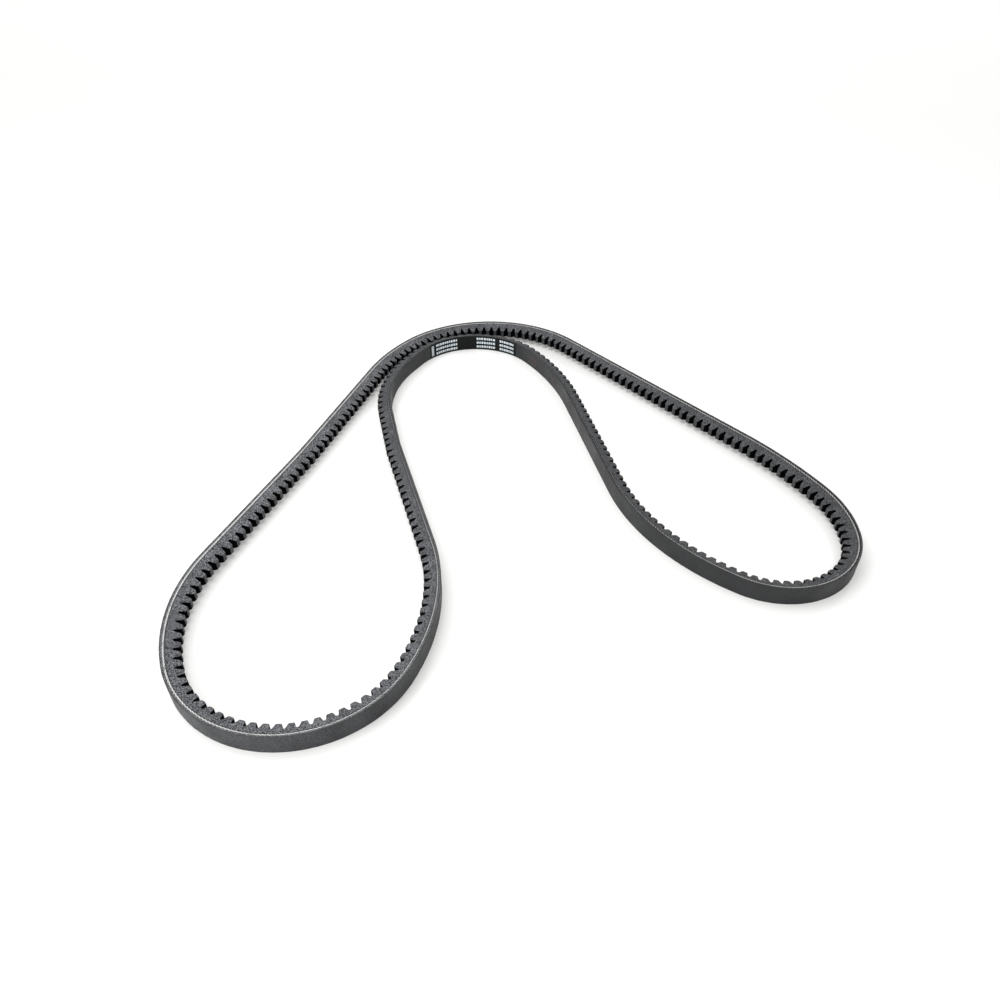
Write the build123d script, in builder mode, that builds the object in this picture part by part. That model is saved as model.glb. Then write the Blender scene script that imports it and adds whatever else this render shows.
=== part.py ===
"""Raw-edge, moulded-cog narrow V belt: one endless, kidney-shaped loop resting on its edge.

Frame: millimetres, +Z up. The loop lies in the XY plane with its back upright and rests at Z = 0.
The origin is at the centre of the loop's outline, on the resting plane.
A depth is measured from the back of the belt towards the cog tips. A station is a distance
along the datum line, the line on which a narrow belt of this section is 14 mm wide.
"""
import os
from math import atan2, cos, hypot, pi, radians, sin, tan

from build123d import *

# ---- section ---------------------------------------------------------------------------------
BACK_WIDTH = 16.3          # width across the back
BELT_HEIGHT = 13.0         # back to cog tips
FLANK_ANGLE = 20.0         # each flank's lean, half of the 40 degree V
PLY_THICKNESS = 0.5        # each of the two fabric plies on the back
CORD_DEPTH = 2.4           # back to the middle of the load cord
CORD_DIAMETER = 1.5
CORD_TURNS = 10
CUT_CORD_SIDES = 12        # the two cut turns are drawn with flats
UNDERCORD_DEPTH = 3.7      # back to the underside of the adhesion rubber
DATUM_DEPTH = 3.16         # back to the datum line

# ---- cogs ------------------------------------------------------------------------------------
COG_COUNT = 262
COG_DEPTH = 5.0            # cog tip to the bottom of the notch
COG_CHAMFER = 0.7          # bevel on each edge of a cog tip
NOTCH_ROOT_RADIUS = 1.15
NOTCH_WALL_ANGLE = 16.0    # lean of each notch wall from square
NOTCH_OVERSHOOT = 0.6      # how far the notch tool reaches past the cog tips
COG_PHASE = 0.156          # part of a pitch from the start of the loop to the first notch

# ---- printed panel on the back ---------------------------------------------------------------
PANEL_START = 1948.0       # station where the panel starts
PANEL_LENGTH = 107.0
PANEL_MARGIN = 0.6         # bare fabric left at each edge of the back
PRINT_THICKNESS = 0.12     # panel, and the bars on it
BAR_ROWS = 3
BAR_HEIGHT = 2.8
BAR_ROW_PITCH = 4.6
BAR_BLOCKS = [(2.0, 4.0), (9.0, 28.0), (58.0, 22.0), (85.0, 20.0)]  # start on the panel, length

# ---- loop ------------------------------------------------------------------------------------
# Corners of the back line, each rounded by its own radius: x, y, radius.
LOOP_CORNERS = [
    (109, -63, 189),
    (268, -170, 68),
    (284, -27, 103),
    (250, 41, 377),
    (-14, 357, 114),
    (-122, 218, 188),
    (-177, 48, 749),
    (-246, -135, 139),
    (-137, -377, 90),
    (-32, -127, 174),
    (-89, 60, 130),
    (-114, 168, 125),
    (-32, 310, 64),
    (54, 190, 227),
]

MID_HEIGHT = BACK_WIDTH / 2
FABRIC_DEPTH = 2 * PLY_THICKNESS
COG_ROOT_DEPTH = BELT_HEIGHT - COG_DEPTH


# ---- geometry of the loop --------------------------------------------------------------------
def half_width(depth):
    """Half of the belt's width between its flanks at a depth."""
    return BACK_WIDTH / 2 - depth * tan(radians(FLANK_ANGLE))


class Span:
    """One straight or round stretch of the back line; curvature > 0 bends towards the cogs."""

    def __init__(self, x, y, heading, length, curvature):
        self.x = x
        self.y = y
        self.heading = heading
        self.length = length
        self.curvature = curvature

    def length_at(self, depth):
        """Length of the line that runs beside this span at a depth."""
        return self.length * (1 - self.curvature * depth)

    def heading_at(self, fraction):
        """Direction of the belt at a fraction of the span."""
        return self.heading + self.curvature * self.length * fraction

    def point(self, fraction, depth):
        """Plan point at a fraction of the span and a depth below the back."""
        heading = self.heading_at(fraction)
        if self.curvature:
            x = self.x + (sin(heading) - sin(self.heading)) / self.curvature
            y = self.y - (cos(heading) - cos(self.heading)) / self.curvature
        else:
            x = self.x + self.length * fraction * cos(heading)
            y = self.y + self.length * fraction * sin(heading)
        return (x - depth * sin(heading), y + depth * cos(heading))


def signed_turn(heading, next_heading):
    """Turn from one heading to the next, between -pi and pi."""
    return (next_heading - heading + pi) % (2 * pi) - pi


def loop_spans():
    """The back line as spans, an arc then a straight for each corner, centred on the origin."""
    count = len(LOOP_CORNERS)
    points = [(x, y) for x, y, _ in LOOP_CORNERS]
    radii = [radius for _, _, radius in LOOP_CORNERS]
    sides = [(points[(i + 1) % count][0] - points[i][0], points[(i + 1) % count][1] - points[i][1])
             for i in range(count)]
    headings = [atan2(dy, dx) for dx, dy in sides]
    turns = [signed_turn(headings[i - 1], headings[i]) for i in range(count)]
    reaches = [radii[i] * tan(abs(turns[i]) / 2) for i in range(count)]
    spans = []
    for i in range(count):
        x, y = points[i]
        before = headings[i - 1]
        after = headings[i]
        curvature = (1 if turns[i] > 0 else -1) / radii[i]
        arc_start = (x - reaches[i] * cos(before), y - reaches[i] * sin(before))
        arc_end = (x + reaches[i] * cos(after), y + reaches[i] * sin(after))
        straight = hypot(*sides[i]) - reaches[i] - reaches[(i + 1) % count]
        spans.append(Span(*arc_start, before, radii[i] * abs(turns[i]), curvature))
        spans.append(Span(*arc_end, after, straight, 0.0))
    outline = [span.point(k / 8, 0) for span in spans for k in range(9)]
    middle_x = (min(x for x, _ in outline) + max(x for x, _ in outline)) / 2
    middle_y = (min(y for _, y in outline) + max(y for _, y in outline)) / 2
    for span in spans:
        span.x -= middle_x
        span.y -= middle_y
    return spans


SPANS = loop_spans()
DATUM_LENGTH = sum(span.length_at(DATUM_DEPTH) for span in SPANS)
COG_PITCH = DATUM_LENGTH / COG_COUNT


def span_at(station):
    """The span that holds a station, and the fraction of the span at that station."""
    station %= DATUM_LENGTH
    for span in SPANS:
        length = span.length_at(DATUM_DEPTH)
        if station <= length:
            return span, station / length
        station -= length
    return SPANS[-1], 1.0


def loop_outline(depth):
    """Draws the closed line at a depth, as the arcs and lines of its spans."""
    for span in SPANS:
        if span.curvature:
            ThreePointArc(span.point(0, depth), span.point(0.5, depth), span.point(1, depth))
        else:
            Line(span.point(0, depth), span.point(1, depth))


def section_plane(span, fraction):
    """Plane across the belt: its x is the depth, its y is the height above the floor."""
    heading = span.heading_at(fraction)
    return Plane(
        origin=(*span.point(fraction, 0), 0),
        x_dir=(-sin(heading), cos(heading), 0),
        z_dir=(cos(heading), sin(heading), 0),
    )


def notch_location(station):
    """Place of a notch tool: its x runs along the belt, its y is the depth."""
    span, fraction = span_at(station)
    heading = span.heading_at(fraction)
    x_dir = (cos(heading), sin(heading), 0)
    return Location(Plane(origin=(*span.point(fraction, 0), 0), x_dir=x_dir, z_dir=(0, 0, 1)))


def v_band(top_depth, bottom_depth):
    """Draws the V section between two depths."""
    top = half_width(top_depth)
    bottom = half_width(bottom_depth)
    Polyline(
        (top_depth, MID_HEIGHT - top),
        (bottom_depth, MID_HEIGHT - bottom),
        (bottom_depth, MID_HEIGHT + bottom),
        (top_depth, MID_HEIGHT + top),
        close=True,
    )


def cord_places():
    """Centres of the cord turns in the section; the end turns are centred on the raw edges."""
    pitch = 2 * half_width(CORD_DEPTH) / (CORD_TURNS - 1)
    middle = (CORD_TURNS - 1) / 2
    return [(CORD_DEPTH, MID_HEIGHT + pitch * (turn - middle)) for turn in range(CORD_TURNS)]


with BuildLine() as back_line:
    loop_outline(0)

BACK_WIRE = back_line.wire()
START_PLANE = section_plane(SPANS[0], 0)


# ---- pieces ----------------------------------------------------------------------------------
def back_fabric_outer_ply():
    """Outer fabric ply, cut square at its edges, so its lower edge is the land the belt rests on."""
    with BuildPart() as ply:
        with BuildSketch(START_PLANE):
            with Locations((PLY_THICKNESS / 2, MID_HEIGHT)):
                Rectangle(PLY_THICKNESS, BACK_WIDTH)
        sweep(path=BACK_WIRE)
    ply.part.label = "back_fabric_outer_ply"
    return ply.part


def v_layer(name, top_depth, bottom_depth, cord_grooves=False):
    """A layer cut to the V on both edges, with half-round grooves where it meets the cords."""
    with BuildPart() as layer:
        with BuildSketch(START_PLANE):
            with BuildLine():
                v_band(top_depth, bottom_depth)
            make_face()
            if cord_grooves:
                with Locations(*cord_places()):
                    Circle(CORD_DIAMETER / 2, mode=Mode.SUBTRACT)
        sweep(path=BACK_WIRE)
    layer.part.label = name
    return layer.part


def tensile_cord_turn(number, place):
    """One turn of the load cord; the raw edges cut the first and the last turn open."""
    cut_angle = {1: FLANK_ANGLE, CORD_TURNS: -FLANK_ANGLE}.get(number)
    with BuildPart() as cord:
        with BuildSketch(START_PLANE):
            with Locations(place):
                if cut_angle is None:
                    Circle(CORD_DIAMETER / 2)
                else:
                    RegularPolygon(CORD_DIAMETER / 2, CUT_CORD_SIDES, rotation=cut_angle)
            if cut_angle is not None:
                with BuildLine():
                    v_band(FABRIC_DEPTH, UNDERCORD_DEPTH)
                make_face(mode=Mode.INTERSECT)
        sweep(path=BACK_WIRE)
    cord.part.label = f"tensile_cord_turn_{number:02d}"
    return cord.part


def notch_tool():
    """Prism that cuts one notch: round root, sloping walls and a bevel at each cog tip."""
    lean = radians(NOTCH_WALL_ANGLE)
    root_half = NOTCH_ROOT_RADIUS * cos(lean)
    root_depth = COG_ROOT_DEPTH + NOTCH_ROOT_RADIUS * (1 - sin(lean))
    wall_depth = BELT_HEIGHT - COG_CHAMFER
    wall_half = root_half + (wall_depth - root_depth) * tan(lean)
    mouth_depth = BELT_HEIGHT + NOTCH_OVERSHOOT
    mouth_half = wall_half + mouth_depth - wall_depth
    with BuildPart() as tool:
        with BuildSketch():
            with BuildLine():
                Polyline((-mouth_half, mouth_depth), (-wall_half, wall_depth), (-root_half, root_depth))
                ThreePointArc((-root_half, root_depth), (0, COG_ROOT_DEPTH), (root_half, root_depth))
                Polyline((root_half, root_depth), (wall_half, wall_depth), (mouth_half, mouth_depth))
                Line((mouth_half, mouth_depth), (-mouth_half, mouth_depth))
            make_face()
        extrude(amount=BACK_WIDTH)
    return tool.part


def compression_rubber():
    """Body of the belt below the cord, with its moulded cogs."""
    tool = notch_tool()
    notches = [notch_location((i + COG_PHASE) * COG_PITCH) for i in range(COG_COUNT)]
    with BuildPart() as body:
        with BuildSketch(START_PLANE):
            with BuildLine():
                v_band(UNDERCORD_DEPTH, BELT_HEIGHT)
            make_face()
        sweep(path=BACK_WIRE)
        with Locations(*notches):
            add(tool, mode=Mode.SUBTRACT)
    body.part.label = "compression_rubber"
    return body.part


def stretch(first_station, length):
    """The spans that a length of the belt runs through, with the fractions where it does."""
    last_station = first_station + length
    parts = []
    passed = 0.0
    for span in SPANS:
        span_length = span.length_at(DATUM_DEPTH)
        first = max((first_station - passed) / span_length, 0.0)
        last = min((last_station - passed) / span_length, 1.0)
        if first < last:
            parts.append((span, first, last))
        passed += span_length
    return parts


def draw_stretch(parts, depth):
    """Draws the line at a depth along a stretch of the belt."""
    for span, first, last in parts:
        if span.curvature:
            ThreePointArc(*[span.point(f, depth) for f in (first, (first + last) / 2, last)])
        else:
            Line(span.point(first, depth), span.point(last, depth))


def stuck_on_patch(first_station, length, low, high, base):
    """Adds a thin patch outside the back, over a stretch of the belt and between two heights."""
    parts = stretch(first_station, length)
    first_span, first, _ = parts[0]
    last_span, _, last = parts[-1]
    outer = -base - PRINT_THICKNESS
    with BuildSketch(Plane.XY.offset(low)) as patch:
        with BuildLine():
            draw_stretch(parts, -base)
            Line(last_span.point(last, -base), last_span.point(last, outer))
            draw_stretch(parts, outer)
            Line(first_span.point(first, outer), first_span.point(first, -base))
        make_face()
    extrude(patch.sketch, amount=high - low)


def printed_panel():
    """Dark transfer-print panel on the back."""
    with BuildPart() as panel:
        stuck_on_patch(PANEL_START, PANEL_LENGTH, PANEL_MARGIN, BACK_WIDTH - PANEL_MARGIN, 0)
    panel.part.label = "printed_panel"
    return panel.part


def printed_bars(number, start, length):
    """One block of plain light bars printed on the panel, one bar in each row."""
    with BuildPart() as bars:
        for row in range(BAR_ROWS):
            low = MID_HEIGHT + (row - (BAR_ROWS - 1) / 2) * BAR_ROW_PITCH - BAR_HEIGHT / 2
            stuck_on_patch(PANEL_START + start, length, low, low + BAR_HEIGHT, PRINT_THICKNESS)
    bars.part.label = f"printed_bars_{number:02d}"
    return bars.part


pieces = [
    back_fabric_outer_ply(),
    v_layer("back_fabric_inner_ply", PLY_THICKNESS, FABRIC_DEPTH),
    v_layer("overcord_rubber", FABRIC_DEPTH, CORD_DEPTH, cord_grooves=True),
    v_layer("undercord_rubber", CORD_DEPTH, UNDERCORD_DEPTH, cord_grooves=True),
    compression_rubber(),
    printed_panel(),
]
for number, (start, length) in enumerate(BAR_BLOCKS, start=1):
    pieces.append(printed_bars(number, start, length))
for number, place in enumerate(cord_places(), start=1):
    pieces.append(tensile_cord_turn(number, place))

os.makedirs("parts", exist_ok=True)
for piece in pieces:
    export_step(piece, f"parts/{piece.label}.step")
print("datum length", round(DATUM_LENGTH, 2), "cog pitch", round(COG_PITCH, 3))
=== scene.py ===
"""Looks for an endless raw-edge cogged V belt that lies on its edge.

The belt is described along its length by a station (distance along the datum line), by a depth
(from the back towards the cog tips) and by a height above the floor, all in millimetres.
Meshes are made in metres, in the CAD frame.
"""

from math import atan2, cos, hypot, pi, radians, sin, tan

import bmesh
import bpy
import numpy as np
from mathutils import Euler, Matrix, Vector


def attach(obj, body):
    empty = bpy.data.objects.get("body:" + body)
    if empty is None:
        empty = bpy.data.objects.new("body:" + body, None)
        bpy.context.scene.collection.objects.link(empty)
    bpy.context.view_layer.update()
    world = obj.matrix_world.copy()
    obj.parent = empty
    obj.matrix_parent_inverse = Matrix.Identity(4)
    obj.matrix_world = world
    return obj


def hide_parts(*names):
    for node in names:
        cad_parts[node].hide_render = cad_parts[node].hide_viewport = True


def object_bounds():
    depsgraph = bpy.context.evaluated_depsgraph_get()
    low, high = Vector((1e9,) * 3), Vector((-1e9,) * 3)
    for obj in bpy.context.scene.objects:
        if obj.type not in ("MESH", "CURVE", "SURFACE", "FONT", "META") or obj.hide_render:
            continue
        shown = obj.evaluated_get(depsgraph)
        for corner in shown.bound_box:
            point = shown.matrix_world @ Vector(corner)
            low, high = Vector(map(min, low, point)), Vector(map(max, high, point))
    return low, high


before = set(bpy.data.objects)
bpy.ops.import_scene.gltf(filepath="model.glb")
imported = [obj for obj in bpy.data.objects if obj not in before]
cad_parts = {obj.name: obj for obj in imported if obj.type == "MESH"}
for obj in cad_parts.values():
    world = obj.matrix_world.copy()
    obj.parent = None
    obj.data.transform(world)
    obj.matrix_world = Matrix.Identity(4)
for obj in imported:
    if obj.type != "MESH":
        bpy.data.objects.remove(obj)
cad_low, cad_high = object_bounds()

MM = 0.001

# ---- section ---------------------------------------------------------------------------------
BACK_WIDTH = 16.3
BELT_HEIGHT = 13.0
FLANK_ANGLE = 20.0
PLY_THICKNESS = 0.5
FABRIC_DEPTH = 2 * PLY_THICKNESS
CORD_DEPTH = 2.4
CORD_DIAMETER = 1.5
CORD_TURNS = 10
UNDERCORD_DEPTH = 3.7
DATUM_DEPTH = 3.16
MID_HEIGHT = BACK_WIDTH / 2
WEAVE_PITCH = 1.3
YARN_PITCH = 1.25
COVER_EDGE_RADIUS = 0.22

# ---- cogs ------------------------------------------------------------------------------------
COG_COUNT = 262
COG_DEPTH = 5.0
COG_PHASE = 0.156
NOTCH_ROOT_RADIUS = 1.15
NOTCH_WALL_ANGLE = 16.0
TIP_RADIUS = 1.1
CUT_EDGE = 0.14              # small break where a moulded face meets the cut flank
COG_SWAY = 0.06              # how far a cog may stand off its place along the belt
COG_SPREAD = 0.035           # how much a notch's width may vary, as a share

# ---- print -----------------------------------------------------------------------------------
PANEL_START = 1948.0
PANEL_LENGTH = 107.0
PANEL_MARGIN = 0.6
FILM_THICKNESS = 0.1
BAR_ROWS = 3
BAR_HEIGHT = 2.8
BAR_ROW_PITCH = 4.6
BAR_BLOCKS = [(2.0, 4.0), (9.0, 28.0), (58.0, 22.0), (85.0, 20.0)]
BAR_THICKNESS = 0.06
BAR_CORNER_RADIUS = 0.28
BAR_WIDTHS = [2.3, 1.5, 2.3, 2.3, 1.5]
BAR_GAP = 0.75
BAR_INSET = 0.15
TICK_COUNT = 8
STAMP_STARTS = [2078.0, 2120.0]
STAMP_COLUMNS = 6
STAMP_ROWS = (4.6, 8.9)
STAMP_PITCH = 2.3
STAMP_WIDTH = 1.5
STAMP_HEIGHT = 2.1
STAMP_THICKNESS = 0.07
STAMP_CORNER_RADIUS = 0.4

# ---- how finely each piece is stepped along the belt -------------------------------------------
COVER_STEP = 1.0
PLY_STEP = 0.32
RUBBER_STEP = 2.0
CORD_STEP = 0.57
FILM_STEP = 0.5

# ---- loop: corners of the back line, each rounded by its own radius ---------------------------
LOOP_CORNERS = [
    (109, -63, 189),
    (268, -170, 68),
    (284, -27, 103),
    (250, 41, 377),
    (-14, 357, 114),
    (-122, 218, 188),
    (-177, 48, 749),
    (-246, -135, 139),
    (-137, -377, 90),
    (-32, -127, 174),
    (-89, 60, 130),
    (-114, 168, 125),
    (-32, 310, 64),
    (54, 190, 227),
]

rng = np.random.default_rng(7)


# ---- geometry of the loop --------------------------------------------------------------------
def half_width(depth):
    """Half of the belt's width between its flanks at a depth."""
    return BACK_WIDTH / 2 - depth * tan(radians(FLANK_ANGLE))


def loop_spans():
    """The back line as rows (x, y, heading, length, curvature), centred on the origin."""
    count = len(LOOP_CORNERS)
    xy = [(x, y) for x, y, _ in LOOP_CORNERS]
    radii = [radius for _, _, radius in LOOP_CORNERS]
    sides = [(xy[(i + 1) % count][0] - xy[i][0], xy[(i + 1) % count][1] - xy[i][1])
             for i in range(count)]
    headings = [atan2(dy, dx) for dx, dy in sides]
    turns = [(headings[i] - headings[i - 1] + pi) % (2 * pi) - pi for i in range(count)]
    reaches = [radii[i] * tan(abs(turns[i]) / 2) for i in range(count)]
    rows = []
    for i in range(count):
        x, y = xy[i]
        before = headings[i - 1]
        after = headings[i]
        curvature = (1 if turns[i] > 0 else -1) / radii[i]
        rows.append((x - reaches[i] * cos(before), y - reaches[i] * sin(before),
                     before, radii[i] * abs(turns[i]), curvature))
        rows.append((x + reaches[i] * cos(after), y + reaches[i] * sin(after),
                     after, hypot(*sides[i]) - reaches[i] - reaches[(i + 1) % count], 0.0))
    return np.array(rows)


SPANS = loop_spans()
SPAN_DATUM = SPANS[:, 3] * (1 - SPANS[:, 4] * DATUM_DEPTH)
SPAN_STARTS = np.concatenate([[0.0], np.cumsum(SPAN_DATUM)])
LOOP_LENGTH = SPAN_STARTS[-1]
COG_PITCH = LOOP_LENGTH / COG_COUNT


def on_back(station):
    """Plan point of the back line and the belt's heading at each station."""
    station = np.asarray(station, float) % LOOP_LENGTH
    i = np.clip(np.searchsorted(SPAN_STARTS, station, side="right") - 1, 0, len(SPANS) - 1)
    run = (station - SPAN_STARTS[i]) / SPAN_DATUM[i] * SPANS[i, 3]
    start, curvature = SPANS[i, 2], SPANS[i, 4]
    heading = start + curvature * run
    bent = curvature != 0
    safe = np.where(bent, curvature, 1.0)
    dx = np.where(bent, (np.sin(heading) - np.sin(start)) / safe, run * np.cos(start))
    dy = np.where(bent, -(np.cos(heading) - np.cos(start)) / safe, run * np.sin(start))
    return SPANS[i, 0] + dx, SPANS[i, 1] + dy, heading


def outline_centre():
    """Centre of the loop's outline, which is the CAD frame's origin."""
    x, y, _ = on_back(np.linspace(0, LOOP_LENGTH, 20000, endpoint=False))
    return (x.min() + x.max()) / 2, (y.min() + y.max()) / 2


CENTRE = outline_centre()


def belt_points(station, depth, height):
    """Points in metres for stations, depths and heights, which broadcast together."""
    station, depth, height = np.broadcast_arrays(station, depth, height)
    x, y, heading = on_back(station)
    x = x - CENTRE[0] - depth * np.sin(heading)
    y = y - CENTRE[1] + depth * np.cos(heading)
    return np.stack([x, y, height], axis=-1) * MM


def waves(station, across, shortest, longest, count=14):
    """Smooth seeded unevenness from about -1 to 1 over stations and a second coordinate."""
    total = np.zeros(np.broadcast(station, across).shape)
    for _ in range(count):
        length = np.exp(rng.uniform(np.log(shortest), np.log(longest)))
        cycles = max(1, round(LOOP_LENGTH / length))
        total += np.sin(2 * pi * cycles * station / LOOP_LENGTH
                        + rng.uniform(-1, 1) * 2 * pi * across / length + rng.uniform(0, 2 * pi))
    return total / np.sqrt(count) / 1.4


# ---- meshes ----------------------------------------------------------------------------------
def add_mesh(name, points, faces, material_index=None, belt_uv=None):
    """A mesh object from point and quad arrays, with belt coordinates as its UV map."""
    mesh = bpy.data.meshes.new(name)
    mesh.vertices.add(len(points))
    mesh.vertices.foreach_set("co", points.astype(np.float32).ravel())
    mesh.loops.add(faces.size)
    mesh.loops.foreach_set("vertex_index", faces.astype(np.int32).ravel())
    mesh.polygons.add(len(faces))
    mesh.polygons.foreach_set("loop_start", np.arange(0, faces.size, 4, dtype=np.int32))
    mesh.polygons.foreach_set("use_smooth", np.ones(len(faces), bool))
    if material_index is not None:
        mesh.polygons.foreach_set("material_index", material_index.astype(np.int32))
    if belt_uv is not None:
        layer = mesh.uv_layers.new(name="belt")
        layer.data.foreach_set("uv", belt_uv.astype(np.float32).ravel())
    mesh.update(calc_edges=True)
    mesh.validate()
    obj = bpy.data.objects.new(name, mesh)
    bpy.context.scene.collection.objects.link(obj)
    return obj


def ring_faces(columns, ring, closed_along):
    """Quads of a tube made of rings, and which column and ring step each one starts at."""
    i, j = np.meshgrid(np.arange(columns if closed_along else columns - 1), np.arange(ring),
                       indexing="ij")
    i, j = i.ravel(), j.ravel()
    i2 = (i + 1) % columns
    j2 = (j + 1) % ring
    faces = np.stack([i * ring + j, i2 * ring + j, i2 * ring + j2, i * ring + j2], axis=1)
    return faces, i, j


def belt_tube(name, stations, depth, height, ring_material=None, closed_along=True):
    """A tube along the belt; depth and height are (station, ring) arrays, rings are closed."""
    columns, ring = depth.shape
    points = belt_points(stations[:, None], depth, height)
    faces, i, j = ring_faces(columns, ring, closed_along)
    after = np.append(stations, stations[0] + LOOP_LENGTH)[i + 1]
    j2 = (j + 1) % ring
    u = np.stack([stations[i], after, after, stations[i]], axis=1)
    i2 = (i + 1) % columns
    v = np.stack([height[i, j], height[i2, j], height[i2, j2], height[i, j2]], axis=1)
    index = None
    if ring_material is not None:
        index = np.broadcast_to(ring_material, (columns, ring))[i, j]
    return add_mesh(name, points.reshape(-1, 3), faces, index, np.stack([u, v], axis=-1) * MM)


def close_ends(obj, ring):
    """Caps the two open ends of a tube."""
    mesh = obj.data
    bm = bmesh.new()
    bm.from_mesh(mesh)
    bmesh.ops.holes_fill(bm, edges=[e for e in bm.edges if e.is_boundary], sides=ring + 1)
    bmesh.ops.recalc_face_normals(bm, faces=bm.faces)
    bm.to_mesh(mesh)
    bm.free()


def round_stations(step):
    """Evenly spaced stations round the loop, about a step apart."""
    return np.linspace(0, LOOP_LENGTH, round(LOOP_LENGTH / step), endpoint=False)


def stand_for(obj, slot, *nodes, sharp_angle=38.0):
    """Ties a finished piece to the CAD: it rides on the one body and hides the nodes it shows."""
    obj.data.set_sharp_from_angle(angle=radians(sharp_angle))
    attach(obj, "root")
    if nodes:
        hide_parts(*nodes)
    return obj


# ---- materials -------------------------------------------------------------------------------
# Station on the left of the loop where the painted side light is brightest; it paints the key
# light's fall-off across the belt.
PAINTED_LIGHT_STATION = 1180.0


class Nodes:
    """A material and short calls that add nodes to it."""

    def __init__(self, name, roughness=0.6, specular=0.5, sheen=0.0):
        self.material = bpy.data.materials.new(name)
        self.material.use_nodes = True
        self.tree = self.material.node_tree
        self.surface = self.tree.nodes["Principled BSDF"]
        self.surface.inputs["Roughness"].default_value = roughness
        self.surface.inputs["Specular IOR Level"].default_value = specular
        self.surface.inputs["Sheen Weight"].default_value = sheen
        self.place = self.tree.nodes.new("ShaderNodeTexCoord").outputs["Object"]

    def wire(self, value, socket):
        """Sets a socket to a number or colour, or links an output to it."""
        if isinstance(value, bpy.types.NodeSocket):
            self.tree.links.new(value, socket)
        else:
            socket.default_value = value

    def math(self, operation, a, b=0.0):
        """One arithmetic step on one or two values."""
        node = self.tree.nodes.new("ShaderNodeMath")
        node.operation = operation
        for socket, value in zip(node.inputs, (a, b)):
            self.wire(value, socket)
        return node.outputs[0]

    def noise(self, size_mm, detail=2.0, roughness=0.5):
        """Noise with features about size_mm across."""
        node = self.tree.nodes.new("ShaderNodeTexNoise")
        node.inputs["Scale"].default_value = 1000.0 / size_mm
        node.inputs["Detail"].default_value = detail
        node.inputs["Roughness"].default_value = roughness
        self.wire(self.place, node.inputs["Vector"])
        return node.outputs["Fac"]

    def specks(self, size_mm):
        """Distance to the nearest of many scattered points, in cells about size_mm across."""
        node = self.tree.nodes.new("ShaderNodeTexVoronoi")
        node.inputs["Scale"].default_value = 1000.0 / size_mm
        self.wire(self.place, node.inputs["Vector"])
        return node.outputs["Distance"]

    def belt_axes(self):
        """Distance along the belt and height, in metres, from the belt's own UV map."""
        uv = self.tree.nodes.new("ShaderNodeUVMap")
        uv.uv_map = "belt"
        split = self.tree.nodes.new("ShaderNodeSeparateXYZ")
        self.wire(uv.outputs[0], split.inputs[0])
        return split.outputs[0], split.outputs[1]

    def spread(self, value, low, high, to_low=0.0, to_high=1.0):
        """Maps a range of a value to another range, held at its ends."""
        node = self.tree.nodes.new("ShaderNodeMapRange")
        for socket, number in zip(node.inputs, (value, low, high, to_low, to_high)):
            self.wire(number, socket)
        return node.outputs[0]

    def blend(self, share, first, second):
        """Colour between two colours."""
        node = self.tree.nodes.new("ShaderNodeMix")
        node.data_type = "RGBA"
        sockets = [s for s in node.inputs if s.type == "RGBA"]
        self.wire(share, node.inputs[0])
        for socket, colour in zip(sockets, (first, second)):
            self.wire(colour if isinstance(colour, bpy.types.NodeSocket) else (*colour, 1.0),
                      socket)
        return next(s for s in node.outputs if s.type == "RGBA")

    def colour(self, value):
        """Sets or links the surface colour."""
        self.wire(value, self.surface.inputs["Base Color"])

    def roughness(self, value):
        """Sets or links the surface roughness."""
        self.wire(value, self.surface.inputs["Roughness"])

    def bump(self, height, depth_mm):
        """Relief from a height pattern of 0 to 1."""
        node = self.tree.nodes.new("ShaderNodeBump")
        node.inputs["Distance"].default_value = depth_mm * MM
        self.wire(height, node.inputs["Height"])
        self.wire(node.outputs[0], self.surface.inputs["Normal"])

    def painted_side_light(self, least):
        """Painted side light: 1 at the station painted palest, falling to a least value half way
        round.
        """
        along, _ = self.belt_axes()
        turn = self.math("MULTIPLY", self.math("SUBTRACT", along, PAINTED_LIGHT_STATION * MM),
                         2 * pi / (LOOP_LENGTH * MM))
        share = self.spread(self.math("COSINE", turn), -1.0, 1.0)
        return self.spread(self.math("POWER", share, 2.0), 0.0, 1.0, least, 1.0)

    def weave(self, pitch_mm):
        """Diagonal over-and-under weave from 0 to 1 that closes round the loop."""
        along, across = self.belt_axes()
        k = 2 * pi * round(LOOP_LENGTH / pitch_mm) / (LOOP_LENGTH * MM)
        first = self.math("SINE", self.math("MULTIPLY", self.math("ADD", along, across), k))
        second = self.math("SINE", self.math("MULTIPLY", self.math("SUBTRACT", along, across), k))
        return self.spread(self.math("MULTIPLY", first, second), -1.0, 1.0)


def cover_fabric_look():
    """Rubber-coated bias-woven fabric on the back."""
    m = Nodes("cover_fabric", roughness=0.6, specular=0.25, sheen=0.04)
    m.surface.inputs["Sheen Roughness"].default_value = 0.5
    weave = m.weave(WEAVE_PITCH)
    grain = m.noise(0.8, detail=3.0, roughness=0.6)
    patches = m.noise(22.0, detail=3.0)
    yarn = m.blend(m.spread(weave, 0.2, 0.9), (0.012, 0.0124, 0.0135), (0.028, 0.029, 0.031))
    # Pale grain and dust on the fabric, made paler towards the lit side of the loop by painted side
    # light.
    dust_and_side_light = m.math("MULTIPLY", m.spread(grain, 0.36, 0.70), m.painted_side_light(0.16))
    dusty_and_side_lit = m.blend(dust_and_side_light, yarn, (0.105, 0.109, 0.116))
    m.colour(m.blend(m.spread(patches, 0.35, 0.7, 0.0, 0.45), dusty_and_side_lit, (0.015, 0.0155, 0.0165)))
    m.roughness(m.spread(patches, 0.3, 0.7, 0.50, 0.68))
    m.bump(m.math("ADD", m.math("MULTIPLY", weave, 0.7), m.math("MULTIPLY", grain, 0.3)), 0.10)
    return m.material


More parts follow.
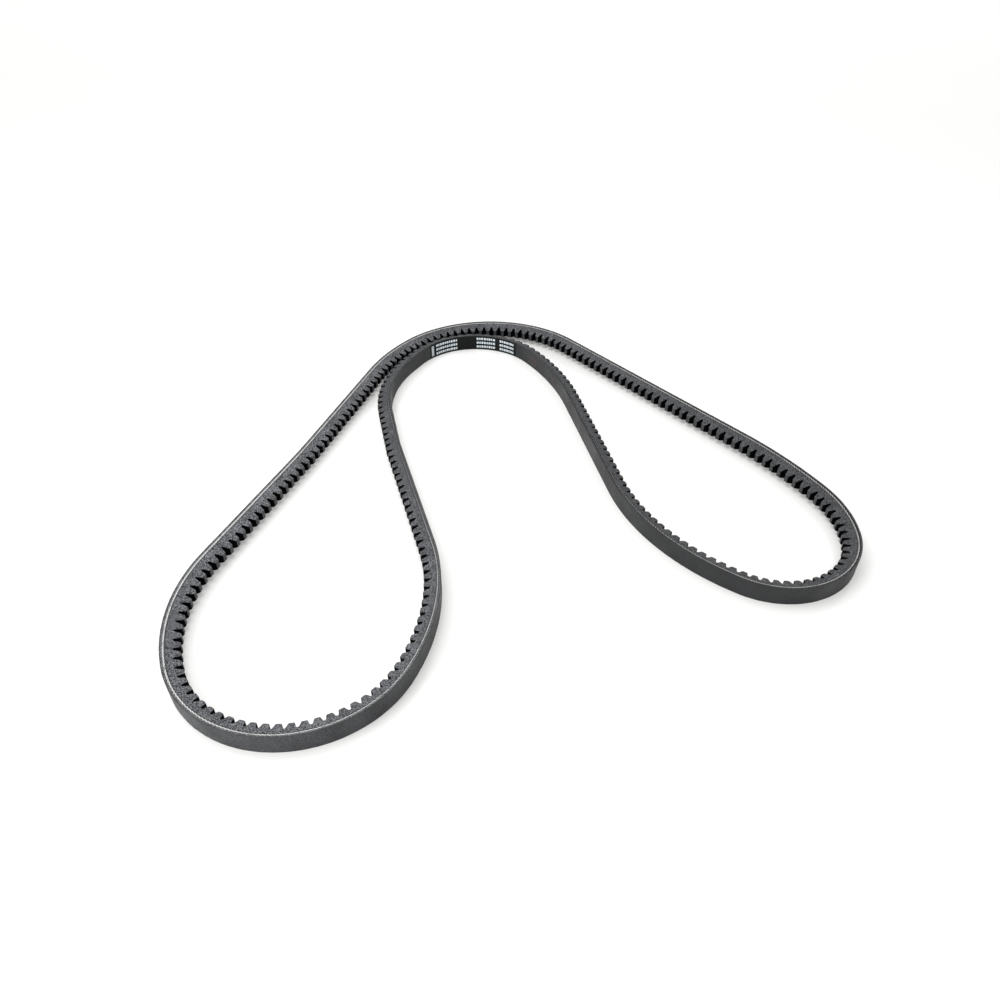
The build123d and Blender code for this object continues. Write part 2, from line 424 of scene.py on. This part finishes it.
def ply_edge_look():
    """Cut edge of the inner fabric ply: pale yarn ends in grey rubber."""
    m = Nodes("cut_fabric_edge", roughness=0.75, specular=0.3, sheen=0.2)
    ends = m.specks(0.7)
    grain = m.noise(0.25)
    pale = m.spread(m.math("ADD", ends, m.math("MULTIPLY", grain, 0.4)), 0.25, 0.75, 1.0, 0.0)
    # Pale yarn ends, faded away from the lit side of the loop by painted side light.
    m.colour(m.blend(m.math("MULTIPLY", pale, m.painted_side_light(0.45)), (0.03, 0.03, 0.031),
                     (0.50, 0.50, 0.50)))
    m.bump(pale, 0.06)
    return m.material


def fibre_rubber_look(name, dark, light, threshold):
    """Ground cut face of rubber filled with short fibres, which show as pale specks."""
    m = Nodes(name, roughness=0.62, specular=0.3)
    coarse = m.noise(1.0, detail=2.0, roughness=0.6)
    fine = m.noise(0.5, detail=2.0, roughness=0.6)
    patches = m.noise(11.0, detail=2.0)
    grain = m.math("ADD", m.math("MULTIPLY", coarse, 0.6), m.math("MULTIPLY", fine, 0.4))
    speck = m.spread(grain, threshold - 0.05, threshold + 0.07)
    speck = m.math("MULTIPLY", speck, m.spread(patches, 0.3, 0.7, 0.6, 1.0))
    # Painted side light: the pale fibre specks fade away from the lit side of the loop.
    speck = m.math("MULTIPLY", speck, m.painted_side_light(0.40))
    m.colour(m.blend(speck, dark, light))
    m.roughness(m.spread(fine, 0.3, 0.7, 0.72, 0.50))
    m.bump(grain, 0.12)
    return m.material


def moulded_rubber_look(name, dark, light, roughness, specular):
    """Moulded skin of the cogs and notches, smoother than the cut faces."""
    m = Nodes(name, roughness=roughness, specular=specular)
    soft = m.noise(2.5, detail=3.0)
    fine = m.noise(0.5, detail=2.0)
    m.colour(m.blend(m.spread(m.math("ADD", m.math("MULTIPLY", soft, 0.5),
                                     m.math("MULTIPLY", fine, 0.5)), 0.35, 0.65), dark, light))
    m.bump(fine, 0.03)
    return m.material


def dark_rubber_look():
    """Black rubber between the fabric and the cord, its fine grain painted paler along one side of
    the loop as painted side light.
    """
    m = Nodes("cord_rubber", roughness=0.66, specular=0.2)
    fine = m.noise(0.6, detail=3.0)
    # Painted side light: the grain turns pale only towards the lit side of the loop.
    side_lit_grain = m.math("MULTIPLY", m.spread(fine, 0.38, 0.62), m.painted_side_light(0.0))
    m.colour(m.blend(side_lit_grain, (0.008, 0.008, 0.0085), (0.26, 0.265, 0.28)))
    m.bump(fine, 0.05)
    return m.material


def cord_look(cut):
    """White polyester cord; where the flank cuts it open, each strand dives back into rubber."""
    m = Nodes("cut_cord" if cut else "tensile_cord", roughness=0.7, specular=0.35, sheen=0.2)
    filaments = m.noise(0.22, detail=2.0)
    stains = m.noise(4.0, detail=3.0)
    clean = m.blend(m.spread(filaments, 0.35, 0.65), (0.55, 0.55, 0.54), (0.85, 0.85, 0.83))
    worn = m.blend(m.spread(stains, 0.50, 0.72, 0.0, 0.75), clean, (0.20, 0.20, 0.20))
    if cut:
        _, nearness = m.belt_axes()
        # Painted side light: the strand dashes dim away from the lit side of the loop.
        shown = m.math("MULTIPLY", m.spread(nearness, -0.05, 0.75), m.painted_side_light(0.62))
        worn = m.blend(shown, (0.03, 0.031, 0.033), worn)
    m.colour(worn)
    m.bump(filaments, 0.05)
    return m.material


def panel_look():
    """Smooth black transfer film, with the fabric showing faintly through it."""
    m = Nodes("transfer_film", roughness=0.48, specular=0.14)
    weave = m.weave(WEAVE_PITCH)
    wear = m.noise(6.0, detail=4.0)
    m.colour(m.blend(m.spread(wear, 0.5, 0.8), (0.003, 0.0035, 0.004), (0.009, 0.011, 0.013)))
    m.roughness(m.spread(wear, 0.3, 0.7, 0.42, 0.56))
    m.bump(weave, 0.03)
    return m.material


def print_look(name, ink, thin, wear_from):
    """Printed ink, thinner where the weave's hollows missed it."""
    m = Nodes(name, roughness=0.55, specular=0.4)
    wear = m.noise(0.6, detail=3.0)
    m.colour(m.blend(m.spread(wear, wear_from, wear_from + 0.2), ink, thin))
    m.roughness(m.spread(wear, 0.3, 0.7, 0.48, 0.62))
    m.bump(wear, 0.02)
    return m.material


LOOKS = {
    "cover": cover_fabric_look(),
    "ply": ply_edge_look(),
    "overcord": dark_rubber_look(),
    "undercord": fibre_rubber_look("undercord_rubber", (0.010, 0.0105, 0.012),
                                   (0.20, 0.206, 0.22), 0.54),
    "flank": fibre_rubber_look("cut_fibre_rubber", (0.012, 0.0125, 0.014),
                               (0.30, 0.31, 0.333), 0.51),
    "crown": moulded_rubber_look("moulded_crown", (0.018, 0.019, 0.021), (0.060, 0.062, 0.067),
                                 0.55, 0.3),
    # Painted shade: the notch walls and root get a near-black, almost glossless copy of the moulded
    # rubber.
    "notch": moulded_rubber_look("notch_painted_shade", (0.001, 0.001, 0.0011), (0.003, 0.003, 0.0033),
                                 0.8, 0.02),
    "cord": cord_look(cut=False),
    "cut_cord": cord_look(cut=True),
    "panel": panel_look(),
    "bars": print_look("bar_print", (0.66, 0.73, 0.77), (0.30, 0.34, 0.37), 0.55),
    "stamp": print_look("stamp_ink", (0.070, 0.034, 0.028), (0.034, 0.028, 0.028), 0.42),
}


# ---- fabric on the back ----------------------------------------------------------------------
def cover_fabric():
    """Outer ply: the broad back face, slightly uneven, with worn round edges."""
    stations = round_stations(COVER_STEP)[:, None]
    edge = COVER_EDGE_RADIUS
    corner = [(edge * (1 - cos(a)), edge * sin(a)) for a in np.radians([0, 30, 60, 90])]
    ring = [(0.0, h) for h in np.linspace(edge * 2, BACK_WIDTH - edge * 2, 15)]
    ring += [(d, BACK_WIDTH - edge + r) for d, r in corner]
    ring += [(PLY_THICKNESS, BACK_WIDTH)]
    ring += [(PLY_THICKNESS, h) for h in (BACK_WIDTH * 2 / 3, BACK_WIDTH / 3, 0.0)]
    ring += [(d, edge - r) for d, r in reversed(corner)]
    ring = np.array(ring)
    depth = np.repeat(ring[None, :, 0], len(stations), axis=0)
    height = np.repeat(ring[None, :, 1], len(stations), axis=0)
    face = (ring[:, 0] < PLY_THICKNESS * 0.9)[None, :]
    relief = 0.045 * waves(stations, height, 5, 60) + 0.02 * waves(stations, height, 1.5, 4)
    depth = depth + np.where(face, np.clip(relief, -0.06, 0.06), 0.0)
    obj = belt_tube("cover_fabric", stations[:, 0], depth, height)
    obj.data.materials.append(LOOKS["cover"])
    return stand_for(obj, "cover_fabric", "back_fabric_outer_ply")


def flank_rows(top, bottom, rows):
    """Depths and heights down the upper flank, edges included."""
    depths = np.linspace(top, bottom, rows)
    return depths, MID_HEIGHT + half_width(depths)


def inner_ply():
    """Second ply, whose cut yarn ends stand slightly out of both flanks."""
    stations = round_stations(PLY_STEP)[:, None]
    depths, heights = flank_rows(PLY_THICKNESS, FABRIC_DEPTH, 4)
    swell = np.array([0.1, 1.0, 1.0, 0.1])
    yarns = 0.5 + 0.5 * np.sin(2 * pi * round(LOOP_LENGTH / YARN_PITCH) * stations / LOOP_LENGTH)
    fray = 0.045 * yarns + 0.02 * waves(stations, depths[None, :] * 3, 1.2, 9)
    out = np.clip(fray, 0.0, 0.09) * swell[None, :]
    upper = heights[None, :] + out
    lower = BACK_WIDTH - upper
    depth = np.repeat(np.concatenate([depths, depths[::-1]])[None, :], len(stations), axis=0)
    height = np.concatenate([upper, lower[:, ::-1]], axis=1)
    obj = belt_tube("ply_edge", stations[:, 0], depth, height)
    obj.data.materials.append(LOOKS["ply"])
    return stand_for(obj, "ply_fabric", "back_fabric_inner_ply", sharp_angle=60.0)


# ---- rubber round the cord -------------------------------------------------------------------
CORD_PITCH = 2 * half_width(CORD_DEPTH) / (CORD_TURNS - 1)
CORD_HEIGHTS = [MID_HEIGHT + CORD_PITCH * (k - (CORD_TURNS - 1) / 2) for k in range(CORD_TURNS)]


def cord_line(side):
    """Line between two rubbers from the upper flank down, round each buried cord turn."""
    line = [(CORD_DEPTH, MID_HEIGHT + half_width(CORD_DEPTH))]
    for centre in reversed(CORD_HEIGHTS[1:-1]):
        for angle in np.radians(np.linspace(90, -90, 7)):
            line.append((CORD_DEPTH + side * CORD_DIAMETER / 2 * cos(angle),
                         centre + CORD_DIAMETER / 2 * sin(angle)))
    line.append((CORD_DEPTH, MID_HEIGHT - half_width(CORD_DEPTH)))
    return line


def cord_rubber(name, look, slot, node, outer, inner):
    """A layer between two lines, each given from the upper flank to the lower one."""
    stations = round_stations(RUBBER_STEP)
    ring = np.array(list(reversed(outer)) + inner)
    depth = np.repeat(ring[None, :, 0], len(stations), axis=0)
    height = np.repeat(ring[None, :, 1], len(stations), axis=0)
    obj = belt_tube(name, stations, depth, height)
    obj.data.materials.append(LOOKS[look])
    return stand_for(obj, slot, node)


def level_line(depth):
    """Straight line across the belt at a depth, from the upper flank down."""
    return [(depth, MID_HEIGHT + half_width(depth)), (depth, MID_HEIGHT - half_width(depth))]


# ---- exposed cord ----------------------------------------------------------------------------
STRANDS = 3
STRAND_OFFSET = 0.39
STRAND_RADIUS = 0.36
STRAND_SIDES = 8
LAY_LENGTH = 8.4
CORD_PROUD = 0.05
# Station, and how wide the cord is cut open on the upper flank there.
CORD_EXPOSURE = [(60, 1.1), (150, 1.40), (300, 1.25), (600, 1.20), (900, 1.30), (1150, 1.45),
                 (1390, 1.49), (1480, 1.15), (1620, 0.9), (1700, 0.40), (2000, 0.30), (2250, 0.35)]


def cord_offset(stations):
    """How far the cord's centre lies inside the flank, from how wide it is cut open."""
    at = np.array([s for s, _ in CORD_EXPOSURE], float)
    wide = np.array([w for _, w in CORD_EXPOSURE])
    at = np.concatenate([at - LOOP_LENGTH, at, at + LOOP_LENGTH])
    width = np.interp(stations % LOOP_LENGTH, at, np.tile(wide, 3))
    radius = CORD_DIAMETER / 2
    return np.sqrt(np.clip(radius ** 2 - (width / 2) ** 2, 0, None))


def cut_cord(name, node, upper):
    """Three twisted strands, sliced by the flank so that their cut faces show as slanted dashes."""
    stations = round_stations(CORD_STEP)
    columns = len(stations)
    turns = round(LOOP_LENGTH / LAY_LENGTH)
    angles = np.linspace(0, 2 * pi, STRAND_SIDES, endpoint=False)
    inside = cord_offset(stations if upper else LOOP_LENGTH - stations)
    centre = half_width(CORD_DEPTH) - inside
    proud = CORD_PROUD + 0.025 * waves(stations, 0.0, 0.8, 4)
    quads, column, _ = ring_faces(columns, STRAND_SIDES, True)
    ends = np.stack([column, (column + 1) % columns, (column + 1) % columns, column], axis=1)
    points, faces, shade = [], [], []
    for strand in range(STRANDS):
        twist = 2 * pi * (turns * stations / LOOP_LENGTH + strand / STRANDS)
        slack = 1 + 0.06 * waves(stations, 0.0, 3, 20)
        radius = (STRAND_RADIUS * slack)[:, None]
        depth = CORD_DEPTH + (STRAND_OFFSET * np.cos(twist))[:, None] + radius * np.cos(angles)
        out = (centre + STRAND_OFFSET * np.sin(twist))[:, None] + radius * np.sin(angles)
        out = np.minimum(out, half_width(depth) + proud[:, None])
        height = MID_HEIGHT + (out if upper else -out)
        points.append(belt_points(stations[:, None], depth, height).reshape(-1, 3))
        turned = slice(None, None, -1 if upper else 1)
        faces.append(quads[:, turned] + strand * columns * STRAND_SIDES)
        nearness = np.sin(twist)[ends[:, turned]]
        shade.append(np.stack([stations[ends[:, turned]] * MM, nearness], axis=-1))
    obj = add_mesh(name, np.concatenate(points), np.concatenate(faces),
                   belt_uv=np.concatenate(shade))
    obj.data.materials.append(LOOKS["cut_cord"])
    return stand_for(obj, "tensile_cord", node, sharp_angle=50.0)


# ---- cogs ------------------------------------------------------------------------------------
def notch_profile():
    """Half of one notch from the middle of its root to the middle of a cog tip: offset, depth."""
    lean = radians(NOTCH_WALL_ANGLE)
    root = BELT_HEIGHT - COG_DEPTH
    line = [(NOTCH_ROOT_RADIUS * sin(a), root + NOTCH_ROOT_RADIUS * (1 - cos(a)))
            for a in np.linspace(0, pi / 2 - lean, 5)]
    wall_x, wall_d = line[-1]
    mouth = wall_x + (BELT_HEIGHT - wall_d) * tan(lean)
    reach = TIP_RADIUS * tan((pi / 2 - lean) / 2)
    start = (mouth - reach * sin(lean), BELT_HEIGHT - reach * cos(lean))
    line.append(((wall_x + start[0]) / 2, (wall_d + start[1]) / 2))
    centre = (mouth + reach, BELT_HEIGHT - TIP_RADIUS)
    for a in np.linspace(lean, pi / 2, 5):
        line.append((centre[0] - TIP_RADIUS * cos(a), centre[1] + TIP_RADIUS * sin(a)))
    line.append((COG_PITCH / 2, BELT_HEIGHT))
    return np.array(line)


def cogged_rubber():
    """Rubber under the cord with its moulded cogs; cut flanks, and a small break at each edge."""
    half = notch_profile()
    offsets = np.concatenate([-half[::-1][1:, 0], half[1:, 0]])
    depths = np.concatenate([half[::-1][1:, 1], half[1:, 1]])
    number = np.arange(COG_COUNT)[:, None]
    sway = rng.uniform(-COG_SWAY, COG_SWAY, (COG_COUNT, 1))
    wide = 1 + rng.uniform(-COG_SPREAD, COG_SPREAD, (COG_COUNT, 1))
    inner = np.abs(offsets) < COG_PITCH * 0.4
    shaped = np.where(inner, offsets * wide + sway, offsets)
    stations = ((number + COG_PHASE) * COG_PITCH + shaped).ravel()
    bottom = np.tile(depths, COG_COUNT)
    bottom = bottom + 0.03 * waves(stations, 0.0, 4, 60)
    shares = np.array([0.0, 0.4, 0.75, 1.0])
    flank_depth = UNDERCORD_DEPTH + (bottom - CUT_EDGE - UNDERCORD_DEPTH)[:, None] * shares
    uneven = 0.015 * waves(stations[:, None], flank_depth, 2, 12)
    flank_out = half_width(flank_depth) + uneven
    across = half_width(bottom)[:, None] - CUT_EDGE
    cog_out = across * np.array([1.0, 0.4, -0.4, -1.0])
    cog_depth = np.repeat(bottom[:, None], 4, axis=1)
    depth = np.concatenate([flank_depth, cog_depth, flank_depth[:, ::-1]], axis=1)
    out = np.concatenate([flank_out, cog_out, -flank_out[:, ::-1]], axis=1)
    order = np.argsort(stations % LOOP_LENGTH)
    crown = bottom[order] > BELT_HEIGHT - TIP_RADIUS * 0.08
    # Faces between crowns take material 2, the notch's painted shade.
    skin = np.where(crown & np.roll(crown, -1), 1, 2)
    moulded = np.zeros((len(order), 12), int)
    moulded[:, 4:7] = skin[:, None]
    obj = belt_tube("cogged_rubber", (stations % LOOP_LENGTH)[order], depth[order],
                    MID_HEIGHT + out[order], moulded)
    obj.data.materials.append(LOOKS["flank"])
    obj.data.materials.append(LOOKS["crown"])
    obj.data.materials.append(LOOKS["notch"])
    return stand_for(obj, "compression_rubber", "compression_rubber")


# ---- print -----------------------------------------------------------------------------------
def film(name, start, length, low, high, base, top):
    """A thin film on the back with softened edges."""
    stations = np.linspace(start, start + length, round(length / FILM_STEP) + 1)[:, None]
    ends = np.minimum(stations - start, start + length - stations)
    lift = np.clip(ends / FILM_STEP, 0.2, 1.0)
    heights = np.concatenate([[low, low + 0.15], np.linspace(low + 0.6, high - 0.6, 13),
                              [high - 0.15, high]])
    share = np.full(len(heights), 1.0)
    share[[0, -1]] = 0.35
    outer = -base - (top - base) * share[None, :] * lift
    ragged = 0.08 * waves(stations, 0.0, 1.5, 12)
    rise = np.repeat(heights[None, :], len(stations), axis=0)
    rise[:, :2] += ragged
    rise[:, -2:] -= ragged
    depth = np.concatenate([outer, np.full((len(stations), 2), 0.08 - base)], axis=1)
    height = np.concatenate([rise, rise[:, [-1, 0]]], axis=1)
    obj = belt_tube(name, stations[:, 0], depth, height, closed_along=False)
    close_ends(obj, depth.shape[1])
    return obj


def block_outline(start, length, low, high, radius):
    """Rounded rectangle on the back as stations and heights."""
    corners = [(start + length - radius, high - radius, 0), (start + radius, high - radius, 90),
               (start + radius, low + radius, 180), (start + length - radius, low + radius, 270)]
    return [(x + radius * cos(radians(a + t)), z + radius * sin(radians(a + t)))
            for x, z, a in corners for t in (0, 45, 90)]


def raised_blocks(name, blocks, base, top, radius):
    """Thin slabs on the back, one for each (start, length, low, high)."""
    bm = bmesh.new()
    for block in blocks:
        outline = np.array(block_outline(*block, radius))
        loops = []
        for depth, shrink in ((0.03 - base, 1.0), (-top + 0.02, 1.0), (-top, 0.93)):
            middle = outline.mean(axis=0)
            ring = middle + (outline - middle) * shrink
            points = belt_points(ring[:, 0], depth, ring[:, 1])
            loops.append([bm.verts.new(p) for p in points])
        for lower, upper in zip(loops, loops[1:]):
            for k in range(len(lower)):
                n = (k + 1) % len(lower)
                bm.faces.new((lower[k], lower[n], upper[n], upper[k]))
        bm.faces.new(loops[-1])
        bm.faces.new(list(reversed(loops[0])))
    bmesh.ops.recalc_face_normals(bm, faces=bm.faces)
    mesh = bpy.data.meshes.new(name)
    bm.to_mesh(mesh)
    bm.free()
    obj = bpy.data.objects.new(name, mesh)
    bpy.context.scene.collection.objects.link(obj)
    return obj


def row_blocks(start, length):
    """Three rows of short plain blocks that fill a stretch of the panel."""
    blocks = []
    for row in range(BAR_ROWS):
        low = MID_HEIGHT + (row - (BAR_ROWS - 1) / 2) * BAR_ROW_PITCH - BAR_HEIGHT / 2
        at = start
        count = 0
        while at + BAR_WIDTHS[count % len(BAR_WIDTHS)] <= start + length + 0.01:
            width = BAR_WIDTHS[count % len(BAR_WIDTHS)]
            blocks.append((at, width, low + BAR_INSET, low + BAR_HEIGHT - BAR_INSET))
            at += width + BAR_GAP
            count += 1
    return blocks


def column_blocks(start, length):
    """A ladder of short plain ticks across the panel."""
    pitch = (BAR_ROW_PITCH * (BAR_ROWS - 1) + BAR_HEIGHT) / TICK_COUNT
    low = MID_HEIGHT - pitch * TICK_COUNT / 2
    return [(start + 0.3, length - 0.6, low + pitch * k + 0.25, low + pitch * (k + 1) - 0.25)
            for k in range(TICK_COUNT)]


def stamp_blocks(start):
    """Two rows of faint ink marks."""
    return [(start + STAMP_PITCH * c, STAMP_WIDTH, low, low + STAMP_HEIGHT)
            for c in range(STAMP_COLUMNS) for low in STAMP_ROWS]


cover_fabric()
inner_ply()
cord_rubber("overcord_band", "overcord", "overcord_rubber", "overcord_rubber",
            level_line(FABRIC_DEPTH), cord_line(-1))
cord_rubber("undercord_band", "undercord", "undercord_rubber", "undercord_rubber",
            cord_line(1), level_line(UNDERCORD_DEPTH))
cogged_rubber()
cut_cord("cut_cord_lower", "tensile_cord_turn_01", upper=False)
cut_cord("cut_cord_upper", f"tensile_cord_turn_{CORD_TURNS:02d}", upper=True)
for turn in range(2, CORD_TURNS):
    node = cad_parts[f"tensile_cord_turn_{turn:02d}"]
    node.data.materials.clear()
    node.data.materials.append(LOOKS["cord"])

panel = film("print_panel", PANEL_START, PANEL_LENGTH, PANEL_MARGIN, BACK_WIDTH - PANEL_MARGIN,
             0.0, FILM_THICKNESS)
panel.data.materials.append(LOOKS["panel"])
stand_for(panel, "panel_print", "printed_panel")
for number, (start, length) in enumerate(BAR_BLOCKS, start=1):
    make = column_blocks if number == 1 else row_blocks
    bars = raised_blocks(f"print_bars_{number:02d}", make(PANEL_START + start, length),
                         FILM_THICKNESS, FILM_THICKNESS + BAR_THICKNESS,
                         BAR_CORNER_RADIUS)
    bars.data.materials.append(LOOKS["bars"])
    stand_for(bars, "bar_print", f"printed_bars_{number:02d}")
for number, start in enumerate(STAMP_STARTS, start=1):
    stamp = raised_blocks(f"stamp_mark_{number:02d}", stamp_blocks(start), 0.0, STAMP_THICKNESS,
                          STAMP_CORNER_RADIUS)
    stamp.data.materials.append(LOOKS["stamp"])
    stand_for(stamp, "bar_print")


# ---- stage -----------------------------------------------------------------------------------
FLOOR_REACH = 14.0           # metres from the middle to each edge
FLOOR_GAP = 0.0001           # metres left between the belt and the table top
FLOOR_GLOW = 0.18            # light given off by the table top, which keeps the shadows pale
WORLD_LIGHT = 0.76


def floor_look():
    """Pale glossy table top that gives off a little light, painted light that keeps the shadows
    pale.
    """
    m = Nodes("studio_floor", roughness=0.16, specular=0.45)
    soft = m.noise(900.0, detail=1.0)
    m.colour(m.blend(soft, (0.855, 0.855, 0.846), (0.875, 0.875, 0.866)))
    m.surface.inputs["Emission Color"].default_value = (1.0, 1.0, 0.97, 1.0)
    m.surface.inputs["Emission Strength"].default_value = FLOOR_GLOW
    return m.material


def add_floor():
    """A wide pale table top just under the belt."""
    z = cad_low.z - FLOOR_GAP
    corners = [(-FLOOR_REACH, -FLOOR_REACH, z), (-FLOOR_REACH, FLOOR_REACH, z),
               (FLOOR_REACH, -FLOOR_REACH, z), (FLOOR_REACH, FLOOR_REACH, z)]
    obj = add_mesh("floor", np.array(corners), np.array([[0, 2, 3, 1]]))
    obj.data.materials.append(floor_look())


def area_light(name, place, aim, size, power):
    """A white rectangular light at a place in metres, turned to face its aim."""
    light = bpy.data.lights.new(name, "AREA")
    light.shape = "RECTANGLE"
    light.size, light.size_y = size
    light.energy = power
    obj = bpy.data.objects.new(name, light)
    obj.location = place
    obj.rotation_euler = (Vector(aim) - Vector(place)).to_track_quat("-Z", "Y").to_euler()
    bpy.context.scene.collection.objects.link(obj)


def add_world(strength):
    """Even white light from all round."""
    world = bpy.data.worlds.new("studio")
    world.use_nodes = True
    world.node_tree.nodes["Background"].inputs["Color"].default_value = (1, 1, 1, 1)
    world.node_tree.nodes["Background"].inputs["Strength"].default_value = strength
    bpy.context.scene.world = world


add_floor()
add_world(WORLD_LIGHT)
area_light("overhead_left", (-0.32, 0.12, 1.05), (-0.12, -0.02, 0), (0.8, 0.8), 5.0)
area_light("far_top", (0.0, 2.7, 1.6), (0, 2.6, 0), (5.0, 2.4), 20.0)
area_light("fill_front_left", (-0.75, -0.65, 0.4), (-0.1, -0.15, 0), (0.5, 0.4), 4.0)
bpy.context.scene.view_settings.view_transform = "Standard"

# ---- camera ----------------------------------------------------------------------------------
SENSOR_WIDTH = 36.0
IMAGE_FOCAL = 795.9          # focal length in thousandths of the sensor's width
CAMERA_TILT = 40.08
CAMERA_DISTANCE = 674.15
CAMERA_AIM = (-23.29, -23.95, 0.0)

camera_data = bpy.data.cameras.new("camera")
camera_data.sensor_width = SENSOR_WIDTH
camera_data.lens = SENSOR_WIDTH * IMAGE_FOCAL / 1000.0
camera_data.dof.use_dof = False
camera = bpy.data.objects.new("camera", camera_data)
camera.location = (Vector(CAMERA_AIM)
                   + Vector((0, -cos(radians(CAMERA_TILT)), sin(radians(CAMERA_TILT))))
                   * CAMERA_DISTANCE) * MM
camera.rotation_euler = Euler((radians(90 - CAMERA_TILT), 0, 0))
camera_data.clip_start = 0.01
camera_data.clip_end = 100.0
bpy.context.scene.collection.objects.link(camera)
bpy.context.scene.camera = camera
